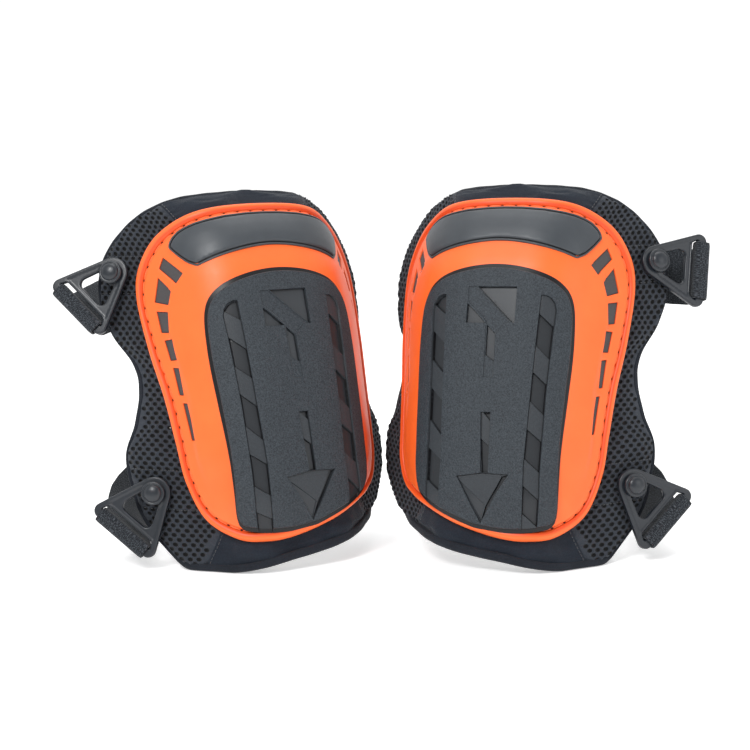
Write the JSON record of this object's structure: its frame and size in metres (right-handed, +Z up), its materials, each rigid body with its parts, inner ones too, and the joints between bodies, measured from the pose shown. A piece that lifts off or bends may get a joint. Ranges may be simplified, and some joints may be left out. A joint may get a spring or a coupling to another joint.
{
  "type": "knee pads",
  "caption": "Pair of hard-capped work knee pads with a tread plate, mesh wings, gel and foam padding and elastic leg straps on swivelling quick-release clips.",
  "frame": {"origin": "middle of the pair's footprint, on the surface that the pads stand on", "axes": "+X from the left-hand pad to the right-hand pad, +Y from the fronts to the leg side, +Z up"},
  "size_m": [0.4296, 0.2084, 0.24],
  "materials": {
    "cap_orange": "satin moulded orange",
    "tread": "pebbled matt dark grey",
    "brow": "smooth satin dark grey",
    "insert": "satin warm dark grey",
    "spacer_mesh": "open spacer mesh",
    "plain_fabric": "tight woven fabric",
    "lining_fabric": "brushed lining",
    "binding": "folded tape",
    "foam": "closed-cell foam",
    "gel": "gel in a film",
    "clip_plastic": "satin moulded plastic",
    "webbing": "elastic webbing"
  },
  "bodies": {
    "left_pad": {"left_cap": "cap_orange", "left_tread_plate": "tread", "left_brow_plate": "brow", "left_outer_insert": "insert", "left_inner_insert": "insert", "left_top_panel": "plain_fabric", "left_bottom_panel": "plain_fabric", "left_outer_wing": "spacer_mesh", "left_inner_wing": "spacer_mesh", "left_foam_core": "foam", "left_gel_pad": "gel", "left_wing_foam": "foam", "left_lining": "lining_fabric", "left_edge_binding": "binding", "left_upper_stud_washer": "clip_plastic", "left_lower_stud_washer": "clip_plastic", "left_upper_strap": "webbing", "left_lower_strap": "webbing", "left_upper_strap_anchor": "webbing", "left_lower_strap_anchor": "webbing"},
    "left_upper_stud": {"left_upper_stud": "clip_plastic"},
    "left_upper_clip": {"left_upper_clip": "clip_plastic", "left_upper_strap_loop": "webbing"},
    "left_lower_stud": {"left_lower_stud": "clip_plastic"},
    "left_lower_clip": {"left_lower_clip": "clip_plastic", "left_lower_strap_loop": "webbing"},
    "right_pad": {"right_cap": "cap_orange", "right_tread_plate": "tread", "right_brow_plate": "brow", "right_outer_insert": "insert", "right_inner_insert": "insert", "right_top_panel": "plain_fabric", "right_bottom_panel": "plain_fabric", "right_outer_wing": "spacer_mesh", "right_inner_wing": "spacer_mesh", "right_foam_core": "foam", "right_gel_pad": "gel", "right_wing_foam": "foam", "right_lining": "lining_fabric", "right_edge_binding": "binding", "right_upper_stud_washer": "clip_plastic", "right_lower_stud_washer": "clip_plastic", "right_upper_strap": "webbing", "right_lower_strap": "webbing", "right_upper_strap_anchor": "webbing", "right_lower_strap_anchor": "webbing"},
    "right_upper_stud": {"right_upper_stud": "clip_plastic"},
    "right_upper_clip": {"right_upper_clip": "clip_plastic", "right_upper_strap_loop": "webbing"},
    "right_lower_stud": {"right_lower_stud": "clip_plastic"},
    "right_lower_clip": {"right_lower_clip": "clip_plastic", "right_lower_strap_loop": "webbing"}
  },
  "joints": [
    {"name": "pair_parting", "type": "slide", "parent": "left_pad", "child": "right_pad", "axis": [1, 0, 0], "range_m": [0, 0.3]},
    {"name": "left_upper_swivel", "type": "hinge", "parent": "left_pad", "child": "left_upper_stud", "pos_m": [-0.17407, -0.00116, 0.18411], "axis": [0.2294, 0.9253, -0.3019], "range_deg": [-15, 18], "stiffness_Nm_per_rad": 0.2},
    {"name": "left_upper_release", "type": "slide", "parent": "left_upper_stud", "child": "left_upper_clip", "axis": [0.6801, -0.0813, 0.7286], "range_m": [0, 0.0075], "stiffness_N_per_m": 300, "springref_m": -0.004},
    {"name": "left_lower_swivel", "type": "hinge", "parent": "left_pad", "child": "left_lower_stud", "pos_m": [-0.14903, -0.04587, 0.04758], "axis": [0.187, 0.9651, -0.1831], "range_deg": [-3, 25], "stiffness_Nm_per_rad": 0.2},
    {"name": "left_lower_release", "type": "slide", "parent": "left_lower_stud", "child": "left_lower_clip", "axis": [0.613, -0.1147, 0.7817], "range_m": [0, 0.0075], "stiffness_N_per_m": 300, "springref_m": -0.004},
    {"name": "right_upper_swivel", "type": "hinge", "parent": "right_pad", "child": "right_upper_stud", "pos_m": [0.17499, -0.02711, 0.18406], "axis": [0.2959, -0.9114, 0.286], "range_deg": [-25, 8], "stiffness_Nm_per_rad": 0.2},
    {"name": "right_upper_release", "type": "slide", "parent": "right_upper_stud", "child": "right_upper_clip", "axis": [-0.8942, -0.3593, 0.267], "range_m": [0, 0.0075], "stiffness_N_per_m": 300, "springref_m": -0.004},
    {"name": "right_lower_swivel", "type": "hinge", "parent": "right_pad", "child": "right_lower_stud", "pos_m": [0.14996, -0.07183, 0.04755], "axis": [0.2548, -0.9512, 0.1739], "range_deg": [-3, 25], "stiffness_Nm_per_rad": 0.2},
    {"name": "right_lower_release", "type": "slide", "parent": "right_lower_stud", "child": "right_lower_clip", "axis": [-0.6295, -0.1766, 0.7567], "range_m": [0, 0.0075], "stiffness_N_per_m": 300, "springref_m": -0.004}
  ]
}
